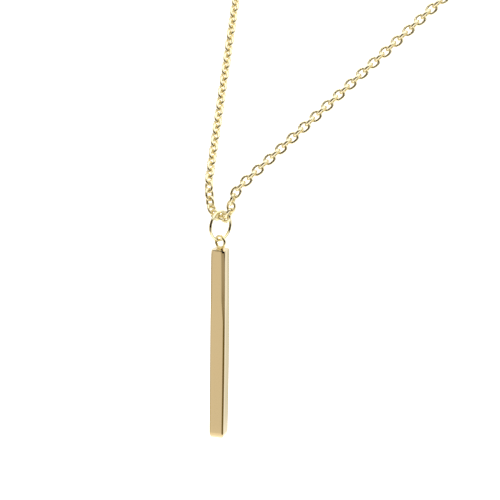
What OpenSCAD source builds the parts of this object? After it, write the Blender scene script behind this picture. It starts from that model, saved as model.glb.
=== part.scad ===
// Bar pendant on a cable chain: a square polished bar with a wire loop soldered on its top,
// hung from a round jump ring that runs on the chain. The chain is a closed loop in the shape
// that it has round a neck, and the origin is at the nape, in the middle of the closed clasp.
// X runs to the wearer's left, Y to the back, Z up.

/* [Bar] */
// Side of the square bar
bar_side = 3; // [2:0.1:5]
// Length of the bar
bar_length = 38.6; // [20:0.2:60]
// Radius on the long edges of the bar
bar_edge_radius = 0.14; // [0.05:0.01:0.4]
// How far the bar is turned about its length from facing straight forward
bar_turn = 25; // [0:1:45]

/* [Loop on the bar] */
// Diameter of the loop at the middle of its wire
loop_diameter = 2.3; // [2:0.1:3]
// Thickness of the loop wire
loop_wire = 0.58; // [0.4:0.02:0.8]
// How far the loop sinks into the top of the bar, where it is soldered
loop_sink = 0.07; // [0.03:0.01:0.2]

/* [Jump ring] */
// Diameter of the ring at the middle of its wire
ring_diameter = 5.64; // [5:0.1:8]
// Thickness of the ring wire
ring_wire = 0.66; // [0.4:0.02:0.9]
// Height of the ring wire's middle over the chain's middle link, which it hangs on
ring_seat = 1.22; // [1.22:0.02:1.6]

/* [Chain links] */
// Length of one link, outside
link_length = 2.68; // [2.5:0.01:4]
// Width of one link, outside
link_width = 2.14; // [1.9:0.02:2.4]
// Thickness of the link wire
link_wire = 0.5; // [0.3:0.02:0.5]
// Free play between two links in a row
link_play = 0.16; // [0.12:0.01:0.3]
// Links on each side of the middle link
side_links = 121; // [60:1:122]

/* [How the chain hangs] */
// Angle of each strand from the middle, on the chest
strand_spread = 25; // [15:1:40]
// Angle from which each strand opens, above the ring
low_spread = -10; // [-12:1:25]
// Rise of the first link beside the middle one
first_rise = 30; // [10:1:35]
// Angle of the next link from the middle
second_spread = 30; // [15:1:45]
// How much closer the first link is laid, and two thirds as much the next, to stay clear
bend_slack = 0.14; // [0:0.02:0.2]
// How far the strands lean back on the chest
chest_lean = 42.5; // [20:0.5:60]
// Length over which a strand hangs straight down before it leans back
drop_length = 4.5; // [2:0.5:12]
// Length over which it comes to its full lean
lean_length = 6; // [4:1:30]
// Turn of the strand on the wearer's left about its own length
left_twist = 34; // [-45:1:60]
// Turn of the strand on the wearer's right about its own length
right_twist = 8; // [-45:1:60]
// Links over which a strand takes its turn
twist_links = 6; // [4:1:20]

/* [Clasp] */
// Length of the closed clasp, between the chain's ends
clasp_length = 12; // [8:1:16]
// Diameter of the clasp's barrel
clasp_diameter = 2.6; // [2.2:0.1:4]

/* [Hidden] */
$fn = 32;
gold = "#d9bd82";
link_pitch = link_length - 2 * link_wire - link_play;
half_chain = (side_links + 0.5) * link_pitch;
spread_grows_until = drop_length + 4;
eye_radius = 0.85;
eye_wire = 0.4;
wire_past_joint = (link_length - link_wire - link_pitch) / 2;
barrel_chamfer = 0.4;
eye_solder = 0.25;

// The strand is straight up to straight_end and then goes round the neck on a circle, so that
// its last link ends level at the clasp. The circle's radius follows from where it starts:
// neck_radius = (straight_x - clasp_length / 2) / cos(strand_spread), and both lengths add up
// to half_chain. start_gain is what the steep first links take off a plain straight strand.
start_gain = joint_at(8)[0] - 8.5 * link_pitch * sin(strand_spread);
arc_turn = PI / 2 + strand_spread * PI / 180;
straight_end = (half_chain - (start_gain - clasp_length / 2) * arc_turn / cos(strand_spread))
    / (1 + tan(strand_spread) * arc_turn);
straight_x = start_gain + straight_end * sin(strand_spread);
neck_radius = (straight_x - clasp_length / 2) / cos(strand_spread);

function smooth(t) = t * t * (3 - 2 * t);
function share(x, from, to) = min(1, max(0, (x - from) / (to - from)));

// Angle of link k from the middle line, seen from the front, and how far it leans back.
function chest_spread(k) = k == 0 ? 90 : k == 1 ? 90 - first_rise : k == 2 ? second_spread
    : low_spread + (strand_spread - low_spread) * share(k * link_pitch, 0, spread_grows_until);
function link_spread(k) = k * link_pitch < straight_end ? chest_spread(k)
    : max(-90, strand_spread - (k * link_pitch - straight_end) / neck_radius * 180 / PI);
function link_lean(k) =
    chest_lean * smooth(share(k * link_pitch, drop_length, drop_length + lean_length));
function along(spread, lean) = [sin(spread), cos(spread) * sin(lean), cos(spread) * cos(lean)];

// Links 0, 1, 2 and so on are laid end to end. joint_at(k) is where link k hooks into the next.
function pitch_at(k) = link_pitch - (k == 1 ? bend_slack : k == 2 ? bend_slack * 2 / 3 : 0);
function joint_at(k) = k == 0 ? [link_pitch / 2, 0, 0]
    : joint_at(k - 1) + pitch_at(k) * along(chest_spread(k), link_lean(k));
joints = [for (k = 0, p = [link_pitch / 2, 0, 0]; k <= side_links;
    p = p + pitch_at(k + 1) * along(link_spread(k + 1), link_lean(k + 1)), k = k + 1) p];
last_joint = joints[side_links];

// Every second link stands on edge, and a strand may be turned about its own length.
function link_roll(k, twist) = 90 * (k % 2) + twist * smooth(share(k, 1, 1 + twist_links));

// Levels below the middle link's centre, which is the front's own zero.
ring_level = ring_seat - ring_diameter / 2;
ring_foot = ring_level - ring_diameter / 2;
loop_level = ring_foot + (ring_wire + loop_wire - loop_diameter) / 2 + link_play;
bar_top = loop_level - (loop_diameter + loop_wire) / 2 + loop_sink;

// The front's zero, seen from the nape. The clasp's axis goes through the origin.
module from_nape() translate([0, -last_joint[1], -last_joint[2]]) children();

module wire_ring(diameter, wire)
    rotate_extrude() translate([diameter / 2, 0]) circle(d = wire);

module link_bend(length, width, wire, turn)
    rotate([0, 0, turn]) translate([(length - width) / 2, 0, 0]) rotate([0, 0, -90])
        rotate_extrude(angle = 180) translate([(width - wire) / 2, 0]) circle(d = wire);

module link_leg(length, width, wire, side)
    translate([(width - length) / 2, side * (width - wire) / 2, 0]) rotate([0, 90, 0])
        cylinder(d = wire, h = length - width);

// One oval link, lying along X with its opening upwards.
module oval_link(length, width, wire) {
    link_bend(length, width, wire, 0);
    link_leg(length, width, wire, 1);
    link_bend(length, width, wire, 180);
    link_leg(length, width, wire, -1);
}

// Puts something that lies along X with its opening upwards in the place of link k.
module as_link(centre, k, twist)
    translate(centre) rotate([-link_lean(k), 0, 0])
        rotate([0, link_spread(k) - 90, 0]) rotate([link_roll(k, twist), 0, 0]) children();

module strand(twist, first_link)
    for (k = [first_link:side_links])
        as_link(k == 0 ? [0, 0, 0] : (joints[k - 1] + joints[k]) / 2, k, twist)
            oval_link(link_length, link_width, link_wire);

// The chain's half on the wearer's left, with the middle link that the ring hangs on.
module chain_left()
    color(gold) from_nape() strand(left_twist, 0);

module chain_right()
    color(gold) from_nape() mirror([1, 0, 0]) strand(right_twist, 1);

module clasp_half(twist) {
    eye_x = last_joint[0] - eye_radius + wire_past_joint;
    barrel_end = eye_x - eye_radius + eye_solder;
    as_link([eye_x, 0, 0], side_links + 1, twist) wire_ring(2 * eye_radius, eye_wire);
    rotate([0, 90, 0]) {
        cylinder(d = clasp_diameter, h = barrel_end - barrel_chamfer);
        translate([0, 0, barrel_end - barrel_chamfer])
            cylinder(d1 = clasp_diameter, d2 = clasp_diameter - 2 * barrel_chamfer,
                h = barrel_chamfer);
    }
}

module clasp()
    color(gold) union() {
        clasp_half(left_twist);
        mirror([1, 0, 0]) clasp_half(right_twist);
    }

module jump_ring()
    color(gold) from_nape() translate([0, 0, ring_level]) rotate([0, 90, 0])
        wire_ring(ring_diameter, ring_wire);

module bar_outline() {
    flat = bar_side - 2 * bar_edge_radius;
    square([bar_side, flat], center = true);
    square([flat, bar_side], center = true);
    for (x = [-flat, flat], y = [-flat, flat])
        translate([x / 2, y / 2]) circle(r = bar_edge_radius);
}

module bar()
    color(gold) from_nape() union() {
        translate([0, 0, bar_top - bar_length]) rotate([0, 0, bar_turn])
            linear_extrude(bar_length) bar_outline();
        translate([0, 0, loop_level]) rotate([90, 0, 0]) wire_ring(loop_diameter, loop_wire);
    }

bar();
jump_ring();
chain_left();
chain_right();
clasp();
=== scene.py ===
# %% [markdown]
# # A polished gold bar on a cable chain
#
# This necklace has five pieces: a square bar with a wire loop, a jump ring, the two halves of a
# chain of oval links, and a clasp at the nape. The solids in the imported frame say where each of
# them is and how large. The cells below make the pieces that are seen: the same shapes with the
# softened edges, smooth wire and lively gold that polishing and plating give the real ones.

# %% Load the frame
import math
from collections import namedtuple

import bpy
import numpy as np
from mathutils import Matrix, Vector


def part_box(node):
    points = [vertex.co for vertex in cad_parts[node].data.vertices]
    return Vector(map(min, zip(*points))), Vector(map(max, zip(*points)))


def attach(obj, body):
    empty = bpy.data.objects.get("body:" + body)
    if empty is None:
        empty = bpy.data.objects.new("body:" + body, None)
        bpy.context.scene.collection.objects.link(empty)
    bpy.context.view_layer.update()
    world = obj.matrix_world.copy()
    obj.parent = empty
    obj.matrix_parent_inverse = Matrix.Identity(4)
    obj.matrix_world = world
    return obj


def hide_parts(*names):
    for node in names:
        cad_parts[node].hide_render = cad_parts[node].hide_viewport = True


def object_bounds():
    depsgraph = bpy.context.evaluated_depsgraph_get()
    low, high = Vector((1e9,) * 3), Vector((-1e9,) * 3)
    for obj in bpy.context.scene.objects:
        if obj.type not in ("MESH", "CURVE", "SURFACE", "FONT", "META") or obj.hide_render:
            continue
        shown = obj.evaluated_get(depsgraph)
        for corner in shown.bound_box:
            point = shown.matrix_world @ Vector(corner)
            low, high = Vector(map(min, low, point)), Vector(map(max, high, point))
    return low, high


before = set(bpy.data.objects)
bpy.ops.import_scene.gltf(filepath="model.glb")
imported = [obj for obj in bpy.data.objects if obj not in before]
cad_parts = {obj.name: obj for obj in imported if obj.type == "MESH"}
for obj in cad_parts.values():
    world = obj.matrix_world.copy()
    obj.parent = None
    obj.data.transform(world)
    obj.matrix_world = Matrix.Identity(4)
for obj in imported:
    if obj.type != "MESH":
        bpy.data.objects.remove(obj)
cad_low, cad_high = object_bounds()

MM = 0.001

# %% [markdown]
# ## Where the photographer stood
#
# The camera comes first, so that every later choice can be checked in the picture. A long lens
# from about 40 cm away keeps the bar's edges almost parallel. The camera stands to the wearer's
# left and a little above, so one face of the bar shows wide and the next one narrow, with the top
# as a thin strip over them. The aim is given from the middle of the bar's top, because that point
# is sharp in any picture of it.

# %% The point that the camera is aimed from
BAR_LENGTH = 38.6 * MM

bar_low, bar_high = (Vector(corner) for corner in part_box("bar"))
bar_top = Vector((0, (bar_low.y + bar_high.y) / 2, bar_low.z + BAR_LENGTH))
print("bar's top at", [round(value, 4) for value in bar_top])

# %% Camera
CAMERA_AZIMUTH = math.radians(42.2)
CAMERA_ELEVATION = math.radians(14.2)
CAMERA_ROLL = math.radians(0.75)
CAMERA_DISTANCE = 387.2 * MM
BAR_TOP_RIGHT_OF_AIM = -5.8 * MM
BAR_TOP_ABOVE_AIM = 0.28 * MM
LENS = 143
SENSOR = 36


def direction(azimuth, elevation):
    """Unit vector to a place round the necklace: azimuth 0 is in front, 90 at the wearer's left."""
    return Vector((math.sin(azimuth) * math.cos(elevation),
                   -math.cos(azimuth) * math.cos(elevation),
                   math.sin(elevation)))


def place_camera():
    """The camera looks back along its direction, rolled a little about that line."""
    forward = -direction(CAMERA_AZIMUTH, CAMERA_ELEVATION)
    level_right = Vector((math.cos(CAMERA_AZIMUTH), math.sin(CAMERA_AZIMUTH), 0))
    level_up = level_right.cross(forward)
    right = level_right * math.cos(CAMERA_ROLL) + level_up * math.sin(CAMERA_ROLL)
    up = level_up * math.cos(CAMERA_ROLL) - level_right * math.sin(CAMERA_ROLL)
    spot = (bar_top - forward * CAMERA_DISTANCE - right * BAR_TOP_RIGHT_OF_AIM
            - up * BAR_TOP_ABOVE_AIM)
    data = bpy.data.cameras.new("photo_camera")
    data.lens = LENS
    data.sensor_width = SENSOR
    data.clip_start = 0.01
    data.clip_end = 50
    camera = bpy.data.objects.new("photo_camera", data)
    turned = Matrix((right, up, -forward)).transposed().to_4x4()
    camera.matrix_world = Matrix.Translation(spot) @ turned
    bpy.context.scene.collection.objects.link(camera)
    bpy.context.scene.camera = camera
    return camera


camera = place_camera()
print("camera at", [round(value, 4) for value in camera.matrix_world.translation])

# %% [markdown]
# ## Surfaces from arrays
#
# Every piece here is a grid of points that is worked out in one go with numpy: wire is a round
# section carried along a path, and the bar is its own outline carried along its length. Two small
# helpers turn such grids into meshes. The first numbers the quads of a grid. The second makes the
# mesh, and turns all its faces round if the volume inside them comes out negative, because that
# is the sign that they point inwards, as they do after mirroring.

# %% Faces of a grid


def grid_quads(rows, columns, close_rows=True):
    """Quads of a grid of points that closes round its columns, and round its rows if asked."""
    row = np.arange(rows if close_rows else rows - 1)[:, None]
    column = np.arange(columns)[None, :]
    next_row = (row + 1) % rows
    next_column = (column + 1) % columns
    corners = (row * columns + column, next_row * columns + column,
               next_row * columns + next_column, row * columns + next_column)
    return np.stack(corners, axis=-1).reshape(-1, 4)


def repeated(quads, points_each, copies):
    """The same quads for each of several copies of a shape, one after the other."""
    first_point = (np.arange(copies) * points_each)[:, None, None]
    return (quads[None] + first_point).reshape(-1, 4)


print("a grid of 3 by 4 points, closed both ways, has", len(grid_quads(3, 4)), "faces")

# %% From arrays to a piece


def signed_volume(points, quads):
    """Volume inside the quads: a sixth of the triple products of their two triangles' corners."""
    a, b, c, d = (points[quads[:, i]] for i in range(4))
    halves = np.cross(b, c) + np.cross(c, d)
    return np.einsum("ij,ij->", a, halves) / 6


def make_piece(name, points, quads):
    """A smooth shaded mesh object from arrays in metres, its faces pointing outwards."""
    points = points.reshape(-1, 3)
    if signed_volume(points, quads) < 0:
        quads = quads[:, ::-1]
    mesh = bpy.data.meshes.new(name)
    mesh.from_pydata(points.tolist(), [], quads.tolist())
    mesh.shade_smooth()
    mesh.update()
    piece = bpy.data.objects.new(name, mesh)
    bpy.context.scene.collection.objects.link(piece)
    print(name, "faces", len(mesh.polygons), "volume mm3",
          round(abs(signed_volume(points, quads)) / MM ** 3, 2))
    return piece


# %% [markdown]
# ## The way the chain hangs
#
# The chain is a row of links, each laid end to end with the next. Link 0 lies level, and the jump
# ring hangs on it. From there a strand goes up each side. A link's direction follows from two
# angles: how far it spreads from the middle line and how far it leans back on the chest. The joints
# between links are the running sum of the directions, so the whole strand is one cumulative sum.
# The last stretch goes round the neck on a circle, which ends level at the clasp. The first link
# beside the middle one is laid a little closer, and the next two thirds as much, so that they stay
# clear in the tight bend. The chain could hang by simulation, but the values here are the ones that
# the solids were built with, so both lie in the same place, and the printed difference of their
# boxes shows it.

# %% One pitch for each link
LINK_LENGTH = 2.68 * MM
LINK_WIRE = 0.5 * MM
LINK_PLAY = 0.16 * MM
SIDE_LINKS = 121
BEND_SLACK = 0.14 * MM

pitch = LINK_LENGTH - 2 * LINK_WIRE - LINK_PLAY
number = np.arange(SIDE_LINKS + 1)
along_chain = number * pitch
own_pitch = pitch - BEND_SLACK * ((number == 1) + (number == 2) * 2 / 3)
print("links", 2 * SIDE_LINKS + 1, "first pitches mm", (own_pitch[:4] / MM).round(3))

# %% From one value to another


def share(value, start, end):
    """How far value has come from start to end, kept between 0 and 1."""
    return np.clip((value - start) / (end - start), 0, 1)


def eased(value, start, end):
    """That share, eased in and out: three times its square less twice its cube."""
    part = share(value, start, end)
    return part ** 2 * (3 - 2 * part)


print("a quarter of the way is", share(1, 0, 4), "and eased", eased(1, 0, 4))

# %% Directions and joints of one strand
STRAND_SPREAD = 25
LOW_SPREAD = -10
FIRST_RISE = 30
SECOND_SPREAD = 30
CHEST_LEAN = 42.5
DROP_LENGTH = 4.5 * MM
LEAN_LENGTH = 6 * MM
SPREAD_GROWS_UNTIL = DROP_LENGTH + 4 * MM


def unit_steps(spread, lean):
    """One step along the chain, from the two angles in degrees: sideways, back and up."""
    spread, lean = np.radians(spread), np.radians(lean)
    return np.stack((np.sin(spread), np.cos(spread) * np.sin(lean),
                     np.cos(spread) * np.cos(lean)), axis=-1)


def strand_joints(spread, lean):
    """The joints after link 0, 1, 2 and so on: the running sum of pitch times direction."""
    steps = own_pitch[:, None] * unit_steps(spread, lean)
    steps[0] = (pitch / 2, 0, 0)
    return np.cumsum(steps, axis=0)


lean = CHEST_LEAN * eased(along_chain, DROP_LENGTH, DROP_LENGTH + LEAN_LENGTH)
opened = share(along_chain, 0, SPREAD_GROWS_UNTIL)
chest_spread = LOW_SPREAD + (STRAND_SPREAD - LOW_SPREAD) * opened
chest_spread[:3] = 90, 90 - FIRST_RISE, SECOND_SPREAD
print("first links spread by", chest_spread[:8].round(1), "degrees")

# %% Where the strand turns round the neck
# The first steep links take start_gain off a plain straight strand, and from SETTLED_LINK on that
# no longer changes. The circle's radius follows from where it starts, and the straight stretch and
# the circle together are half the chain.
SETTLED_LINK = 8
CLASP_LENGTH = 12 * MM
CLASP_SPREAD = -90

spread_radians = math.radians(STRAND_SPREAD)
half_chain = (SIDE_LINKS + 0.5) * pitch
arc_turn = math.pi / 2 + spread_radians
start_gain = (strand_joints(chest_spread, lean)[SETTLED_LINK, 0]
              - (SETTLED_LINK + 0.5) * pitch * math.sin(spread_radians))
least_arc = (start_gain - CLASP_LENGTH / 2) * arc_turn / math.cos(spread_radians)
straight_end = (half_chain - least_arc) / (1 + math.tan(spread_radians) * arc_turn)
straight_x = start_gain + straight_end * math.sin(spread_radians)
neck_radius = (straight_x - CLASP_LENGTH / 2) / math.cos(spread_radians)

on_the_arc = np.degrees((along_chain - straight_end) / neck_radius)
spread = np.where(along_chain < straight_end, chest_spread,
                  np.maximum(STRAND_SPREAD - on_the_arc, CLASP_SPREAD))
joints = strand_joints(spread, lean)
front_zero = np.array((0, -joints[-1, 1], -joints[-1, 2]))
print("straight for mm", round(straight_end / MM, 1),
      "neck radius mm", round(neck_radius / MM, 1))

# %% [markdown]
# ## The oval links
#
# A cable chain's links are bits of round wire bent to an oval and soldered shut. Each stands at
# a right angle to its neighbours, and the two strands have turned a little about their own length
# as a real chain does. A link could be a torus that is stretched, but that would thin its wire at
# the ends. Here a round section is carried along the oval's own centre line, two half circles and
# two straight legs, so the wire keeps its thickness, which plating has made a little fuller than
# the drawn wire. There are 243 links, so each has only a few dozen faces, and smooth shading
# rounds them. A six-sided wire covers less than a round one, so its radius is divided by
# FACET_LOSS.

# %% One link
LINK_WIDTH = 2.14 * MM
BEND_STEPS = 5
WIRE_SIDES = 6
FACET_LOSS = 0.95
PLATED_WIRE = LINK_WIRE + 0.1 * MM


def link_points():
    """The link along X: a centre line of two half circles, and a ring of points round the wire.

    A point is the centre line, plus the outward direction times the wire's radius times the
    cosine of the section's angle, plus Z times the radius times its sine."""
    half_turn = np.linspace(-math.pi / 2, math.pi / 2, BEND_STEPS + 1)
    angle = np.concatenate((half_turn, half_turn + math.pi))
    outward = np.stack((np.cos(angle), np.sin(angle), 0 * angle), axis=-1)
    leg = np.repeat((1, -1), BEND_STEPS + 1)[:, None] * np.array((1, 0, 0))
    centre_line = outward * (LINK_WIDTH - LINK_WIRE) / 2 + leg * (LINK_LENGTH - LINK_WIDTH) / 2
    section = np.linspace(0, 2 * math.pi, WIRE_SIDES, endpoint=False)[None, :, None]
    radius = PLATED_WIRE / 2 / FACET_LOSS
    return (centre_line[:, None] + radius * np.cos(section) * outward[:, None]
            + radius * np.sin(section) * np.array((0, 0, 1)))


print("points on a link", link_points().shape[:2])

# %% Turns as matrices


def turn(axis, degrees):
    """Rotation matrices about one axis, one for each angle.

    The axis keeps its 1, and the next two have cosines on the diagonal and sines beside it."""
    angle = np.radians(degrees)
    cosine, sine = np.cos(angle), np.sin(angle)
    matrices = np.zeros(angle.shape + (3, 3))
    first, second = (axis + 1) % 3, (axis + 2) % 3
    matrices[..., axis, axis] = 1
    matrices[..., first, first] = matrices[..., second, second] = cosine
    matrices[..., second, first], matrices[..., first, second] = sine, -sine
    return matrices


print("a quarter turn about Z takes X to", turn(2, np.array(90.0))[:, 0].round(3))

# %% All links of a strand placed at once
LEFT_TWIST = 34
RIGHT_TWIST = 8
TWIST_LINKS = 6


def strand_piece(name, twist, first_link, mirrored):
    """Every link of a strand: its points are rolled, spread and leant, then moved to its place."""
    roll = 90 * (number % 2) + twist * eased(number, 1, 1 + TWIST_LINKS)
    turned = turn(0, -lean) @ turn(1, spread - 90) @ turn(0, roll)
    centres = np.concatenate((np.zeros((1, 3)), (joints[1:] + joints[:-1]) / 2))
    link = link_points()
    points = np.einsum("kij,suj->ksui", turned, link) + centres[:, None, None]
    points = points[first_link:]
    if mirrored:
        points = points * np.array((-1, 1, 1))
    quads = grid_quads(link.shape[0], link.shape[1])
    quads = repeated(quads, link.shape[0] * link.shape[1], len(points))
    return make_piece(name, points + front_zero, quads)


left_chain = strand_piece("left_chain", LEFT_TWIST, 0, False)
right_chain = strand_piece("right_chain", RIGHT_TWIST, 1, True)
chain_pieces = {"chain_left": left_chain, "chain_right": right_chain}
for node, piece in chain_pieces.items():
    corners = np.array([vertex.co[:] for vertex in piece.data.vertices])
    solid = np.array([corner[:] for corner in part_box(node)])
    difference = np.abs((corners.min(0), corners.max(0)) - solid).max()
    print(node, "box differs by mm", round(difference / MM, 3))

# %% [markdown]
# ## The jump ring
#
# A jump ring is one turn of round wire that is cut, hooked through its neighbours and closed. On
# a plated piece the cut stays as a hairline across the wire. The ring is a torus, so it could be
# a primitive, but a section carried round a circle lets the wire's radius dip where the two ends
# meet, which a primitive can't do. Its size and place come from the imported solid.

# %% Ring
RING_WIRE = 0.66 * MM
RING_STEPS = 144
RING_SIDES = 28
SEAM_AT = math.radians(8)
SEAM_DEPTH = 0.045 * MM
SEAM_WIDTH = math.radians(0.9)

ring_low, ring_high = (np.array(corner[:]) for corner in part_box("jump_ring"))
ring_centre = (ring_low + ring_high) / 2
ring_radius = (ring_high[2] - ring_low[2] - RING_WIRE) / 2


def circle_steps(count, seam, width):
    """Angles round a circle, crowded towards the seam so that its narrow dip is drawn.

    Even shares from -1 to 1 give the angle from the seam: twice the width times the share, plus
    what is missing to half a turn times the share's fourth power, with the share's own sign."""
    even = np.linspace(-1, 1, count, endpoint=False)
    near = width * 2
    crowded = np.sign(even) * (near * np.abs(even) + (math.pi - near) * even ** 4)
    return seam + crowded


def ring_points():
    """A circle round X, and round it a section whose radius dips by a bell curve at the seam."""
    angle = circle_steps(RING_STEPS, SEAM_AT, SEAM_WIDTH)
    dip = SEAM_DEPTH * np.exp(-((angle - SEAM_AT) / SEAM_WIDTH) ** 2)
    radius = (RING_WIRE / 2 - dip)[:, None, None]
    outward = np.stack((0 * angle, np.cos(angle), np.sin(angle)), axis=-1)[:, None]
    section = np.linspace(0, 2 * math.pi, RING_SIDES, endpoint=False)[None, :, None]
    return (ring_centre + outward * (ring_radius + radius * np.cos(section))
            + radius * np.sin(section) * np.array((1, 0, 0)))


hanging_ring = make_piece("hanging_ring", ring_points(), grid_quads(RING_STEPS, RING_SIDES))

# %% [markdown]
# ## The bar
#
# The bar is drawn square stock, cut to length, filed and buffed. Buffing takes a little more near
# the edges: each face is flat in the middle and falls away by a few degrees towards its edges,
# over a wider stretch near the top, where the wheel is held longer. The edge itself is a small
# even curve that grows at the top corners. A bevelled box would show one flat tone on each face.
# This outline lets a mirror face show where the light in front of it ends, as the line along the
# real bar does. Each row up the bar has its own fall and edge radius, and all rows are worked out
# together. BELOW_TOP and FALL_STARTS are two columns of one table: at that distance below the top,
# the fall starts at that share of the way from the face's middle to its edge.

# %% The bar's outline
BAR_SIDE = 3 * MM
BAR_TURN = math.radians(25)
FACE_FALL = math.radians(5)
BELOW_TOP = np.array((38.6, 27, 14.5, 10, 0)) * MM
FALL_STARTS = np.array((0.63, 0.61, 0.61, 0.32, 0.28))
EDGE_RADIUS = 0.085
TOP_EDGE_GAIN = 0.26
TOP_EDGE_REACH = 0.7 * MM
FACE_STEPS = 8
EDGE_STEPS = 8


def octant_outline(fall_start, edge_radius):
    """One eighth of each row's outline, on a bar whose side is 2: face middle to edge middle.

    The face is straight to fall_start. From there its slope grows evenly to FACE_FALL, so it
    drops by a parabola, and then an arc about a point on the diagonal turns it to 45 degrees."""
    fall_start, edge_radius = fall_start[:, None], edge_radius[:, None]
    sine, cosine = math.sin(FACE_FALL), math.cos(FACE_FALL)
    arc_start = ((1 + FACE_FALL * fall_start / 2 - edge_radius * (cosine - sine))
                 / (1 + FACE_FALL / 2))
    falling = np.linspace(0, 1, FACE_STEPS)
    across = np.concatenate((0 * fall_start, fall_start + (arc_start - fall_start) * falling), axis=1)
    drop = FACE_FALL * (arc_start - fall_start) * falling ** 2 / 2
    out = np.concatenate((1 + 0 * fall_start, 1 - drop), axis=1)
    turned = np.linspace(FACE_FALL, math.pi / 4, EDGE_STEPS)[1:]
    middle = arc_start - edge_radius * sine
    return (np.concatenate((across, middle + edge_radius * np.sin(turned)), axis=1),
            np.concatenate((out, middle + edge_radius * np.cos(turned)), axis=1))


low_eighth = octant_outline(FALL_STARTS[:1], np.array([EDGE_RADIUS]))
print("an eighth of the foot's outline ends at", [round(part[0, -1], 3) for part in low_eighth])

# %% From an eighth to the whole outline


def bar_outline(fall_start, edge_radius):
    """Each row's whole outline: the eighth, its mirror image, and their three quarter turns."""
    across, out = octant_outline(fall_start, edge_radius)
    quarter = np.stack((np.concatenate((out, across[:, -2:0:-1]), axis=1),
                        np.concatenate((across, out[:, -2:0:-1]), axis=1)), axis=-1)
    turns = turn(2, np.arange(4) * 90.0)[:, :2, :2]
    return np.einsum("tij,rpj->rtpi", turns, quarter).reshape(len(quarter), -1, 2)


print("points round the bar", bar_outline(FALL_STARTS, 0 * FALL_STARTS + EDGE_RADIUS).shape[1])

# %% [markdown]
# ## The bar's length and its ends
#
# Both ends are flat caps with a rolled rim. At the top the rim is small, as a few strokes of a
# file leave it, and reaches lower at the corners. At the foot it is a taller bevel, which catches
# the light of the table as a pale band. One side of the bar is a hair fuller halfway up than at
# its ends, as long buffing leaves a thin bar, and that bends the reflection of the light along it.
# A Bevel modifier would give one width all round. Here each row's height and half width come from
# the same quarter circle, so each end has its own form.

# %% Bar
TOP_ROLL = 0.14 * MM
FOOT_ROLL = 1.15 * MM
FOOT_INSET = 0.45 * MM
CORNER_ROLL_GAIN = 1.3
SIDE_FULLNESS = 0.13 * MM
CORNER_STARTS = 0.5
CORNER_FULL = 0.9
END_STEPS = 8
CAP_STEPS = 6
CAP_MIDDLE = 0.02
SIDE_STEPS = 40
SIDE_CROWDING = 0.7


def bar_points():
    """Rows of the outline from the bottom's middle, out, up the side, and in over the top.

    In the rolled top a row shrinks along a quarter circle and at the foot along a tall quarter of
    an ellipse. In the flat caps it shrinks evenly to a small middle. The roll at the top reaches
    lower at the corners: its height is multiplied by 1 plus a gain times how near the point is to
    a corner. One side is a hair fuller halfway up: by a parabola of the height, times how far
    across the bar the point lies."""
    quarter = np.linspace(0, math.pi / 2, END_STEPS + 1)
    cap = np.linspace(CAP_MIDDLE, 1, CAP_STEPS, endpoint=False)
    low_half = BAR_SIDE / 2 - FOOT_INSET * (1 - np.sin(quarter))
    high_half = BAR_SIDE / 2 - TOP_ROLL * (1 - np.sin(quarter[::-1]))
    side = np.linspace(0, 1, SIDE_STEPS)[1:-1] ** SIDE_CROWDING
    side = FOOT_ROLL + (BAR_LENGTH - FOOT_ROLL - TOP_ROLL) * side
    half = np.concatenate((cap * low_half[0], low_half, 0 * side + BAR_SIDE / 2,
                           high_half, cap[::-1] * high_half[-1]))
    top_drop = TOP_ROLL * (1 - np.cos(quarter[::-1]))
    height = np.concatenate((0 * cap, FOOT_ROLL * (1 - np.cos(quarter)), side,
                             BAR_LENGTH - top_drop, 0 * cap + BAR_LENGTH))
    fall_start = np.interp(BAR_LENGTH - height, BELOW_TOP[::-1], FALL_STARTS[::-1])
    edge_radius = EDGE_RADIUS + TOP_EDGE_GAIN * np.exp((height - BAR_LENGTH) / TOP_EDGE_REACH)
    rows = bar_outline(fall_start, edge_radius)
    at_corner = eased(np.abs(rows[..., 0] * rows[..., 1]), CORNER_STARTS, CORNER_FULL)
    rolled = np.zeros(len(height))
    rolled[-len(top_drop) - CAP_STEPS:-CAP_STEPS] = top_drop
    z = height[:, None] - CORNER_ROLL_GAIN * at_corner * rolled[:, None]
    up = height / BAR_LENGTH
    fuller = SIDE_FULLNESS * (4 * up * (1 - up))[:, None] * (1 + rows[..., 0]) / 2
    rows = rows * half[:, None, None]
    rows[..., 0] += fuller
    cosine, sine = math.cos(BAR_TURN), math.sin(BAR_TURN)
    x = rows[..., 0] * cosine - rows[..., 1] * sine
    y = rows[..., 0] * sine + rows[..., 1] * cosine
    foot = np.array((bar_top.x, bar_top.y, bar_low.z))
    return np.stack((x, y, z), axis=-1) + foot


print("rows up the bar", len(bar_points()))

# %% The bar closed at both ends


def close_ends(points, quads):
    """Adds a point in the middle of the first and the last row, and quads that meet there.

    Each of these quads spans two sides of the row, so the number of columns is even."""
    rows, columns = points.shape[:2]
    flat = points.reshape(-1, 3)
    middles = np.stack((points[0].mean(0), points[-1].mean(0)))
    left = np.arange(0, columns, 2)
    right = (left + 2) % columns
    last = (rows - 1) * columns
    bottom = np.stack((left * 0 + len(flat), right, left + 1, left), axis=-1)
    top = np.stack((left * 0 + len(flat) + 1, last + left, last + left + 1, last + right), axis=-1)
    return np.concatenate((flat, middles)), np.concatenate((quads, bottom, top))


points = bar_points()
quads = grid_quads(points.shape[0], points.shape[1], close_rows=False)[:, ::-1]
polished_bar = make_piece("polished_bar", *close_ends(points, quads))

# %% [markdown]
# ## The loop on the bar
#
# A small ring of wire stands on the bar's top and is soldered there. Solder draws up between the
# wire and the flat by itself and leaves a hollow curve. The loop and its solder are one surface:
# near the foot the lower half of the section flares out and reaches down, so wire and solder
# flow into each other as they do after polishing.

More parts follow.
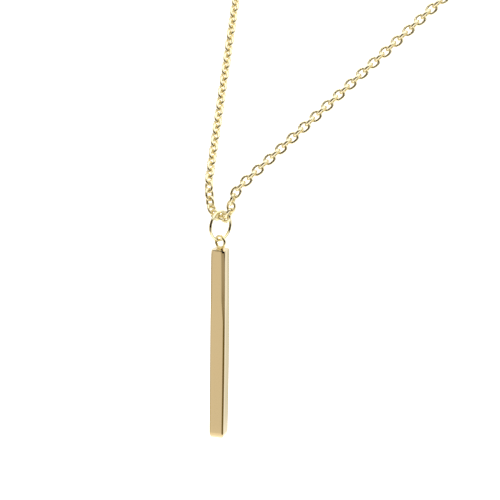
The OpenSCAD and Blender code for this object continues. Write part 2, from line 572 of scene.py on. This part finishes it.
# %% Loop
LOOP_WIRE = 0.58 * MM
LOOP_STEPS = 96
LOOP_SIDES = 24
LOOP_SINK = 0.07 * MM
SOLDER_FLARE = 0.6
SOLDER_FILL = 0.06 * MM
SOLDER_SPREAD = math.radians(27)

loop_radius = (bar_high.z - bar_top.z + LOOP_SINK - LOOP_WIRE) / 2
loop_centre = np.array((0, bar_top.y, bar_high.z - LOOP_WIRE / 2 - loop_radius))


def loop_points():
    """A circle round Y whose section changes near the foot, the circle's lowest point.

    Away is the angle from the foot over the solder's spread. The section's lower half is widened
    by a bell curve of away. It also reaches out by away squared times the same bell curve, times e,
    so that the most it reaches is SOLDER_FILL."""
    angle = np.linspace(-math.pi / 2, 1.5 * math.pi, LOOP_STEPS, endpoint=False)
    from_foot = np.minimum(angle + math.pi / 2, 1.5 * math.pi - angle)
    away = (from_foot / SOLDER_SPREAD)[:, None, None]
    section = np.linspace(0, 2 * math.pi, LOOP_SIDES, endpoint=False)[None, :, None]
    outward = np.stack((np.cos(angle), 0 * angle, np.sin(angle)), axis=-1)[:, None]
    lower = np.clip(np.cos(section), 0, 1)
    flare = 1 + SOLDER_FLARE * lower ** 2 * np.exp(-away ** 2)
    fill = SOLDER_FILL * lower * away ** 2 * np.exp(1 - away ** 2)
    thick = LOOP_WIRE / 2
    return (loop_centre + outward * (loop_radius + thick * np.cos(section) + fill)
            + thick * flare * np.sin(section) * np.array((0, 1, 0)))


bar_loop = make_piece("bar_loop", loop_points(), grid_quads(LOOP_STEPS, LOOP_SIDES))

# %% [markdown]
# ## The clasp
#
# The clasp lies at the nape, where the photograph doesn't show it. It is a plain closed barrel
# with an eye at each end. A barrel is turned on a lathe, so it is a profile spun round the
# necklace's own left to right line, with eased shoulders. The eyes are wire like the links.

# %% Barrel of the clasp
EYE_RADIUS = 0.85 * MM
EYE_SOLDER = 0.25 * MM
BARREL_DIAMETER = 2.6 * MM
BARREL_SHOULDER = 0.4 * MM
BARREL_SIDES = 48
BARREL_STEPS = 9
SHOULDER_STEPS = 8
END_CAP_STEPS = 4
END_CAP_MIDDLE = 0.05

wire_past_joint = (LINK_LENGTH - LINK_WIRE - pitch) / 2
eye_x = joints[-1, 0] - EYE_RADIUS + wire_past_joint
barrel_end = eye_x - EYE_RADIUS + EYE_SOLDER


def barrel_points():
    """A profile spun round X: flat end, rounded shoulder, straight barrel, and the same back.

    A shoulder is a quarter circle, and each point of the profile becomes a ring whose Y and Z are
    its radius times the cosine and the sine of the spin."""
    quarter = np.linspace(0, math.pi / 2, SHOULDER_STEPS + 1)
    end_radius = BARREL_DIAMETER / 2 - BARREL_SHOULDER
    cap = np.linspace(END_CAP_MIDDLE, 1, END_CAP_STEPS, endpoint=False) * end_radius
    shoulder = end_radius + BARREL_SHOULDER * np.sin(quarter)
    reach = barrel_end - BARREL_SHOULDER * (1 - np.cos(quarter))
    barrel = np.linspace(-1, 1, BARREL_STEPS)[1:-1] * (barrel_end - BARREL_SHOULDER)
    radius = np.concatenate((cap, shoulder, 0 * barrel + BARREL_DIAMETER / 2,
                             shoulder[::-1], cap[::-1]))
    x = np.concatenate((0 * cap - barrel_end, -reach, barrel, reach[::-1], 0 * cap + barrel_end))
    spin = np.linspace(0, 2 * math.pi, BARREL_SIDES, endpoint=False)[None, :]
    radius = radius[:, None]
    return np.stack((np.broadcast_to(x[:, None], (len(x), BARREL_SIDES)),
                     radius * np.cos(spin), radius * np.sin(spin)), axis=-1)


points = barrel_points()
quads = grid_quads(points.shape[0], points.shape[1], close_rows=False)[:, ::-1]
clasp_barrel = make_piece("clasp_barrel", *close_ends(points, quads))

# %% Eyes of the clasp
EYE_WIRE = 0.4 * MM
EYE_STEPS = 40
EYE_SIDES = 14


def eye_points(twist, side):
    """A wire ring at one end of the barrel, turned as the link after the last would be.

    Side is 1 for the wearer's left and -1 for the right, which mirrors the ring."""
    angle = np.linspace(0, 2 * math.pi, EYE_STEPS, endpoint=False)[:, None, None]
    section = np.linspace(0, 2 * math.pi, EYE_SIDES, endpoint=False)[None, :, None]
    outward = np.concatenate((np.cos(angle), np.sin(angle), 0 * angle), axis=-1)
    points = (outward * (EYE_RADIUS + EYE_WIRE / 2 * np.cos(section))
              + EYE_WIRE / 2 * np.sin(section) * np.array((0, 0, 1)))
    turned = (turn(0, np.array(-CHEST_LEAN)) @ turn(1, np.array(CLASP_SPREAD - 90))
              @ turn(0, np.array(twist)))
    return (points @ turned.T + (eye_x, 0, 0)) * np.array((side, 1, 1))


clasp_eyes = [make_piece(name, eye_points(twist, side), grid_quads(EYE_STEPS, EYE_SIDES))
              for name, twist, side in (("clasp_eye_left", LEFT_TWIST, 1),
                                        ("clasp_eye_right", RIGHT_TWIST, -1))]

# %% [markdown]
# ## Shader maths that reads like maths
#
# A finish is a graph of nodes, and a graph written node by node hides its formula. The class
# below wraps one output socket, so that sums and products of sockets are written as expressions.
# Any other node comes from one method of the graph, which takes the node's type, its settings and
# what goes into its sockets.

# %% Sockets as numbers


class Signal:
    """One output socket of a shader graph, with the arithmetic that the finishes use."""

    def __init__(self, graph, socket):
        self.graph, self.socket = graph, socket

    def _math(self, operation, first, second):
        return self.graph.node("ShaderNodeMath", {"operation": operation}, {0: first, 1: second})

    def __add__(self, other):
        return self._math("ADD", self, other)

    def __sub__(self, other):
        return self._math("SUBTRACT", self, other)

    def __rsub__(self, other):
        return self._math("SUBTRACT", other, self)

    def __mul__(self, other):
        return self._math("MULTIPLY", self, other)

    __radd__, __rmul__ = __add__, __mul__


# %% A material's graph


class Graph:
    """The node tree of a new material."""

    def __init__(self, name):
        self.material = bpy.data.materials.new(name)
        self.material.use_nodes = True
        self.tree = self.material.node_tree
        self.tree.nodes.clear()

    def node(self, kind, settings=None, inputs=None, output=0):
        """Adds a node, sets it up, fills or links its sockets and returns one of its outputs.

        Kind is the node's type, settings are what is set on the node first, and inputs are values
        or Signals, by the socket's name or number."""
        made = self.tree.nodes.new(kind)
        for key, value in (settings or {}).items():
            setattr(made, key, value)
        for key, value in (inputs or {}).items():
            if isinstance(value, Signal):
                self.tree.links.new(value.socket, made.inputs[key])
            else:
                made.inputs[key].default_value = value
        return Signal(self, made.outputs[output]) if made.outputs else made


# %% [markdown]
# ## A painted dark reflection on the bar's top edge
#
# On the real bar a short dark line runs slantwise over the top edge, near the corner that the
# camera is closest to. It is a dark reflection in the polished corner, and here it is a painted
# reflection in the bar's colour. It could be a groove, but it is finer than the bar's own rows of
# points, so it is painted. The line is where a plane crosses the surface, kept short by a small ball
# round its middle. Both masks are worked out from object coordinates, so the painted reflection
# stays on its place in every view.

# %% A mark from a plane and a ball
MARK_FROM_BAR_TOP = np.array((1.12, -0.76, 0)) * MM
MARK_NORMAL = (0.584, 0.721, 0.372)
MARK_HALF_WIDTH = 0.15 * MM
MARK_WIDTH_EDGE = (0.5, 1.5)
MARK_REACH = 0.72 * MM
MARK_REACH_EDGE = (0.9, 1.1)
# Colour of the painted dark reflection on the bar's top edge.
PAINTED_REFLECTION_COLOUR = (0.03, 0.022, 0.015, 1)

mark_middle = np.array(bar_top[:]) + MARK_FROM_BAR_TOP


def ramp(graph, value, start, end):
    """0 while value is below start and 1 beyond end, eased in between."""
    return graph.node("ShaderNodeMapRange", {"interpolation_type": "SMOOTHSTEP"},
                      {"Value": value, "From Min": start, "From Max": end})


# The mask of the painted dark reflection: where the bar's colour is darkened in place of a
# reflection.
def painted_reflection_line(graph, place):
    """1 on a short slanted line over the bar's top edge: near a plane and inside a small ball.

    The distance from the plane is the offset's dot product with its normal. Over the half width
    and squared it fades the mark, and the distance from the middle over the reach ends it. The
    mask is 1 less the one ramp, times 1 less the other."""
    offset = graph.node("ShaderNodeVectorMath", {"operation": "SUBTRACT"},
                        {0: place, 1: tuple(mark_middle)})
    distance = graph.node("ShaderNodeVectorMath", {"operation": "DOT_PRODUCT"},
                          {0: offset, 1: MARK_NORMAL}, output="Value")
    far = graph.node("ShaderNodeVectorMath", {"operation": "LENGTH"}, {0: offset}, output="Value")
    across = distance * (1 / MARK_HALF_WIDTH)
    off_plane = ramp(graph, across * across, *MARK_WIDTH_EDGE)
    off_ball = ramp(graph, far * (1 / MARK_REACH), *MARK_REACH_EDGE)
    return (1 - off_plane) * (1 - off_ball)


print("mark's middle at mm", (mark_middle / MM).round(2))

# %% [markdown]
# ## Polished gold plate
#
# Gold plate over brass is a mirror with a colour. Its look is mostly what it reflects, but a
# perfect mirror looks like a drawing. Real plate drifts a little between a warm and a greener
# yellow over a few millimetres, the buffing wheel leaves fine lines along the bar, and dust and
# touch make the polish vary. The colour drift feeds the base colour, the lines and the touch feed
# roughness, and the lines a very low bump as well. All of it is noise on object coordinates, so it
# stays with the piece. The bar, the ring and the loop are buffed, and the chain is only tumbled,
# which leaves it a softer and paler shine.

# %% A gold finish
LINES_PER_METRE = 9000.0
LINE_DEPTH = 0.00002 * MM
TOUCHES_PER_METRE = 420.0
EVEN_ROUGHNESS = 0.55
TOUCH_ROUGHNESS = 0.5
LINE_ROUGHNESS = 0.4


def gold_finish(name, gold_pair, polish, drift_size, line_squash=1, mark=None):
    """Polished gold: gold_pair is what it drifts between, over drift_size in metres.

    The roughness is polish times an even part plus the noise of touch and of lines, each times
    its weight. line_squash is how much longer than wide the lines are along Z. mark is a function
    that gives a mask to darken."""
    graph = Graph(name)
    place = graph.node("ShaderNodeTexCoord", output="Object")
    drift = graph.node("ShaderNodeTexNoise", {},
                       {"Vector": place, "Scale": 1 / drift_size, "Detail": 2.0})
    stretched = graph.node("ShaderNodeMapping", {},
                           {"Vector": place, "Scale": (1, 1, 1 / line_squash)})
    lines = graph.node("ShaderNodeTexNoise", {},
                       {"Vector": stretched, "Scale": LINES_PER_METRE, "Detail": 3.0})
    touch = graph.node("ShaderNodeTexNoise", {},
                       {"Vector": place, "Scale": TOUCHES_PER_METRE, "Detail": 4.0})
    gold = graph.node("ShaderNodeMix", {"data_type": "RGBA"},
                      {0: drift, 6: gold_pair[0] + (1,), 7: gold_pair[1] + (1,)}, output=2)
    # Where a mask is given, the gold takes the painted dark reflection's colour there.
    if mark:
        gold = graph.node("ShaderNodeMix", {"data_type": "RGBA"},
                          {0: mark(graph, place), 6: gold, 7: PAINTED_REFLECTION_COLOUR}, output=2)
    roughness = polish * (EVEN_ROUGHNESS + TOUCH_ROUGHNESS * touch + LINE_ROUGHNESS * lines)
    bump = graph.node("ShaderNodeBump", {},
                      {"Strength": 1.0, "Distance": LINE_DEPTH, "Height": lines})
    shader = graph.node("ShaderNodeBsdfPrincipled", {}, {
        "Base Color": gold, "Metallic": 1.0, "Roughness": roughness, "Normal": bump})
    graph.node("ShaderNodeOutputMaterial", {}, {"Surface": shader})
    return graph.material


print("buffing lines about mm", round(1 / LINES_PER_METRE / MM, 2), "apart")

# %% The four golds
BAR_GOLDS = ((0.87, 0.725, 0.46), (0.85, 0.735, 0.48))
WIRE_GOLDS = ((0.87, 0.75, 0.43), (0.86, 0.775, 0.465))
RING_GOLDS = ((0.88, 0.785, 0.49), (0.86, 0.80, 0.53))
CHAIN_GOLDS = ((0.97, 0.855, 0.54), (0.96, 0.875, 0.59))
BUFFED = 0.05
TUMBLED = 0.24
# The bar's gold carries the painted dark reflection on its top edge.
bar_gold = gold_finish("buffed_bar_gold", BAR_GOLDS, BUFFED, drift_size=5 * MM,
                       line_squash=24, mark=painted_reflection_line)
wire_gold = gold_finish("polished_wire_gold", WIRE_GOLDS, BUFFED, drift_size=3 * MM)
ring_gold = gold_finish("polished_ring_gold", RING_GOLDS, BUFFED, drift_size=3 * MM)
chain_gold = gold_finish("chain_link_gold", CHAIN_GOLDS, TUMBLED, drift_size=4 * MM)
for finish, pieces in ((bar_gold, [polished_bar]), (ring_gold, [hanging_ring]),
                       (chain_gold, [left_chain, right_chain]),
                       (wire_gold, [bar_loop, clasp_barrel, *clasp_eyes])):
    for piece in pieces:
        piece.data.materials.append(finish)
    print(finish.name, "on", [piece.name for piece in pieces])

# %% [markdown]
# ## The light tent
#
# Jewellery is photographed in a tent of white cloth, because a mirror shows whatever is round it.
# The tent is white all over and brighter overhead. A bright table lies below, the wall in front is
# a little grey and warm, and so is the wall behind. Two grey cards and a dim low side give the
# wires and the bar's faces their soft shadows. Last, the tent has one dark gap: the slit that the
# camera looks through. That slit draws the dark lines along the wires and next to the bar's front
# edge. Lamps could light the gold as well, but a mirror shows a lamp as a hard spot. Here the tent
# is a sphere of points, and each point's light is worked out from its azimuth and elevation.

# %% Shapes that the light is made of


def bell(value, middle, width):
    """A flat-topped bell: exp of minus the fourth power of the distance over the width."""
    return np.exp(-np.abs((value - middle) / width) ** 4)


def between(value, foot, head):
    """0, eased up to 1 over the pair foot, and eased down to 0 over the pair head."""
    return eased(value, *foot) * (1 - eased(value, *head))


print("bell at its middle, width and twice that", bell(np.array((0, 1, 2)), 0, 1).round(3))

# %% [markdown]
# ## The gap for the camera
#
# All angles are in degrees. Azimuth is 0 in front and grows to the wearer's left, which is the
# picture's right. Elevation is 0 at the height of the bar's top, and a pair says where a change
# starts and ends. The gap is darkest inside and has a dim rim on the picture's left. Its left side
# is sharp, because the line along the bar is, and its right side is soft. Both sides shift with
# height: above the table the tent's door stands open and the gap is wider, and high up it leans
# over to the left.

# %% The dark gap
Shift = namedtuple("Shift", "by start end")

DOOR_OPENS = (-11, -4)
LEFT_SIDE = 9.5
LEFT_SHIFTS = (Shift(-27, *DOOR_OPENS), Shift(-32, 40, 62))
LEFT_SHARPNESS = (0, 1.5)
RIGHT_SIDE = 66
RIGHT_SHIFTS = (Shift(34, -17, -8), Shift(-105, 12, 62))
RIGHT_SOFTNESS = (-5, 5)
GAP_FOOT = (-38, -30)
GAP_HEAD = (62, 70)
RIM_DARKNESS = 0.45
RIM_DARKENS_BY = 0.35
RIM_DARKENS = (-15.5, -17.5)
RIM_ENDS = (20, 34)


def shifted(side, shifts, elevation):
    """A side of the gap at each height: where it is, plus every shift times its eased share."""
    return side + sum(shift.by * eased(elevation, shift.start, shift.end) for shift in shifts)


def camera_gap(away, elevation):
    """How dark the gap is, from 0 to 1: its inside, times its two sides, times its height.

    Away is the azimuth from -180 to 180. The inside is the rim's darkness, and what is missing
    to 1 is added where the rim has ended or the door is open."""
    rim = RIM_DARKNESS + RIM_DARKENS_BY * eased(elevation, *RIM_DARKENS)
    inside = rim + (1 - rim) * np.maximum(eased(elevation, *DOOR_OPENS), eased(away, *RIM_ENDS))
    left = shifted(LEFT_SIDE, LEFT_SHIFTS, elevation)
    right = shifted(RIGHT_SIDE, RIGHT_SHIFTS, elevation)
    sides = share(away - left, *LEFT_SHARPNESS) * (1 - eased(away - right, *RIGHT_SOFTNESS))
    return inside * sides * between(elevation, GAP_FOOT, GAP_HEAD)


print("the gap's darkness at azimuth 15 and 46",
      camera_gap(np.array((15.0, 46.0)), np.array((-16.0, 4.0))).round(2))

# %% [markdown]
# ## Cloth, cards and walls
#
# What isn't gap is cloth. A card takes away a share of its light round one direction, and the walls
# that show through the cloth are warm, so each takes away some green and more blue. The wide face
# of the bar mirrors the wall in front, just beside the gap, and so takes its even tone. The narrow
# face mirrors the wall behind, which starts at a sharp line and gets deeper past it. The dim low
# side is counted the other way round from the front, to the picture's left.

# %% Cards
Card = namedtuple("Card", "greyness azimuth half_width elevation half_height")

FRONT_WALL = Card(0.28, 0, 60, -10, 45)
LEFT_CARD = Card(0.55, -80, 17, 8, 42)
RIGHT_CARD = Card(0.5, 150, 17, -22, 36)


def within(card, away, elevation):
    """How far a direction lies within a card: a bell across it times a bell up it."""
    return (bell(away, card.azimuth, card.half_width)
            * bell(elevation, card.elevation, card.half_height))


print("level with the bar's top, the cards take away",
      [round(card.greyness * within(card, card.azimuth, 0), 2)
       for card in (FRONT_WALL, LEFT_CARD, RIGHT_CARD)])

# %% The wall behind
BACK_WALL = 0.24
BACK_WALL_STARTS = (183.5, 187.3)
BACK_WALL_DEEPER = 0.12
BACK_WALL_DEEPENS = (187, 198)
BACK_WALL_ENDS = (250, 266)
BACK_WALL_FOOT = (-23.8, -21)
BACK_WALL_HEAD = (-6, 0)


def back_wall(full_azimuth, elevation):
    """How grey the wall behind is: a sharp step and then a slow slope, between foot and head.

    Its azimuth is counted from 0 to 360, so that the wall isn't cut at 180."""
    grey = (BACK_WALL * eased(full_azimuth, *BACK_WALL_STARTS)
            + BACK_WALL_DEEPER * share(full_azimuth, *BACK_WALL_DEEPENS))
    return (grey * (1 - eased(full_azimuth, *BACK_WALL_ENDS))
            * between(elevation, BACK_WALL_FOOT, BACK_WALL_HEAD))


print("the wall behind is grey by", back_wall(np.array((183, 188, 200)), -15).round(2))

# %% The light from each direction
CLOTH = 1.05
OVERHEAD = 0.55
OVERHEAD_GROWS = (20, 70)
TABLE = 0.32
TABLE_GROWS = (-23, -28)
LOW_SIDE = 0.25
LOW_SIDE_STARTS = (-1, 3)
LOW_SIDE_ENDS = (50, 64)
LOW_SIDE_ELEVATION = -18.5
LOW_SIDE_HALF_HEIGHT = 8
GAP_DEPTH = 0.985
FRONT_COLOUR = np.array((0, 0.11, 0.27))
BACK_COLOUR = np.array((1, 1.04, 1.26))
GAP_COLOUR = np.array((1, 1.055, 1.19))


def tent_light(azimuth, elevation):
    """Red, green and blue of the light in each direction: cloth, times 1 less each grey part.

    A coloured part takes away its greyness times its own red, green and blue."""
    away = (azimuth + 180) % 360 - 180
    cloth = (CLOTH + OVERHEAD * eased(elevation, *OVERHEAD_GROWS)
             + TABLE * eased(elevation, *TABLE_GROWS))
    for card in (FRONT_WALL, LEFT_CARD, RIGHT_CARD):
        cloth = cloth * (1 - card.greyness * within(card, away, elevation))
    low_side = (between(-away, LOW_SIDE_STARTS, LOW_SIDE_ENDS)
                * bell(elevation, LOW_SIDE_ELEVATION, LOW_SIDE_HALF_HEIGHT))
    light = (cloth * (1 - LOW_SIDE * low_side))[..., None]
    light = light * (1 - within(FRONT_WALL, away, elevation)[..., None] * FRONT_COLOUR)
    light = light * (1 - back_wall(azimuth % 360, elevation)[..., None] * BACK_COLOUR)
    gap = GAP_DEPTH * camera_gap(away, elevation)[..., None] * GAP_COLOUR
    return light * np.clip(1 - gap, 0, 1)


print("light in the gap", tent_light(np.array(46.0), np.array(4.0)).round(2),
      "overhead", tent_light(np.array(180.0), np.array(90.0)).round(2))

# %% [markdown]
# ## Hanging the tent
#
# The light is stored as a colour on each point of the sphere, and an emission shader reads it. The
# camera doesn't see the tent itself, only what the gold makes of it.

# %% Tent
TENT_RADIUS = 0.7
TENT_ROWS = 181
TENT_COLUMNS = 360


def make_tent():
    """A sphere round the bar's top with an attribute for its light, seen by the gold alone.

    A point is the radius times the unit vector of its azimuth and elevation, as the camera's
    direction is."""
    elevation = np.linspace(-90, 90, TENT_ROWS)[:, None] * np.ones(TENT_COLUMNS)
    azimuth = np.linspace(-180, 180, TENT_COLUMNS, endpoint=False)[None] * np.ones((TENT_ROWS, 1))
    level, around = np.radians(elevation), np.radians(azimuth)
    outward = np.stack((np.sin(around) * np.cos(level), -np.cos(around) * np.cos(level),
                        np.sin(level)), axis=-1)
    points = TENT_RADIUS * outward + np.array(bar_top[:])
    mesh = bpy.data.meshes.new("light_tent")
    mesh.from_pydata(points.reshape(-1, 3).tolist(), [],
                     grid_quads(TENT_ROWS, TENT_COLUMNS, close_rows=False).tolist())
    light = mesh.attributes.new("tent_light", "FLOAT_COLOR", "POINT")
    colour = np.concatenate((tent_light(azimuth, elevation), np.ones(azimuth.shape + (1,))), axis=-1)
    light.data.foreach_set("color", colour.ravel().astype(np.float32))
    tent = bpy.data.objects.new("light_tent", mesh)
    bpy.context.scene.collection.objects.link(tent)
    graph = Graph("tent_cloth")
    colour = graph.node("ShaderNodeAttribute", {"attribute_name": "tent_light"}, output="Color")
    cloth = graph.node("ShaderNodeEmission", {}, {"Color": colour, "Strength": 1.0})
    graph.node("ShaderNodeOutputMaterial", {}, {"Surface": cloth})
    mesh.materials.append(graph.material)
    tent.visible_camera = False
    return tent


tent = make_tent()
print("tent with", len(tent.data.vertices), "points of light")

# %% [markdown]
# ## Floor and world
#
# The picture shows no room, only white. The floor is a pale square well below the necklace that
# gives back more light than the picture can hold, and the world behind it is white too.

# %% Floor and world
FLOOR_DROP = 0.8
FLOOR_HALF = 6
FLOOR_GREY = 0.9


def make_floor():
    """A pale square under the necklace: four corners at a level below the lowest solid."""
    corners = np.array(((-1, -1), (1, -1), (1, 1), (-1, 1))) * FLOOR_HALF
    level = np.full((4, 1), cad_low[2] - FLOOR_DROP)
    mesh = bpy.data.meshes.new("pale_floor")
    mesh.from_pydata(np.concatenate((corners, level), axis=1).tolist(), [], [(0, 1, 2, 3)])
    floor = bpy.data.objects.new("pale_floor", mesh)
    bpy.context.scene.collection.objects.link(floor)
    graph = Graph("pale_floor")
    paint = graph.node("ShaderNodeBsdfPrincipled", {}, {
        "Base Color": (FLOOR_GREY, FLOOR_GREY, FLOOR_GREY, 1), "Roughness": 0.8,
        "Emission Color": (1, 1, 1, 1), "Emission Strength": 1.0})
    graph.node("ShaderNodeOutputMaterial", {}, {"Surface": paint})
    mesh.materials.append(graph.material)
    return floor


floor = make_floor()
world = bpy.data.worlds.new("white_studio")
bpy.context.scene.world = world
world.use_nodes = True
background = world.node_tree.nodes["Background"]
background.inputs["Color"].default_value = (1, 1, 1, 1)
background.inputs["Strength"].default_value = 1.0
bpy.context.scene.view_settings.view_transform = "Standard"
print("floor at height", round(floor.data.vertices[0].co.z, 3), "world", world.name)

# %% [markdown]
# ## What moves with what
#
# The chain and its clasp are one body, the ring swings on the chain, and the bar with its loop
# swings on the ring. Each piece rides on its body and stands for the solid that it replaces, so
# the necklace can be posed without another line here.

# %% Bodies, slots and replaced solids
for piece, body, slot, node in (
        (left_chain, "necklace", "chain_gold", "chain_left"),
        (right_chain, "necklace", "chain_gold", "chain_right"),
        (clasp_barrel, "necklace", "clasp_gold", "clasp"),
        (clasp_eyes[0], "necklace", "clasp_gold", "clasp"),
        (clasp_eyes[1], "necklace", "clasp_gold", "clasp"),
        (hanging_ring, "ring", "ring_gold", "jump_ring"),
        (polished_bar, "pendant", "bar_gold", "bar"),
        (bar_loop, "pendant", "bar_gold", "bar")):
    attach(piece, body)
    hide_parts(node)
    print(piece.name, "rides on the", body, "in place of", node)
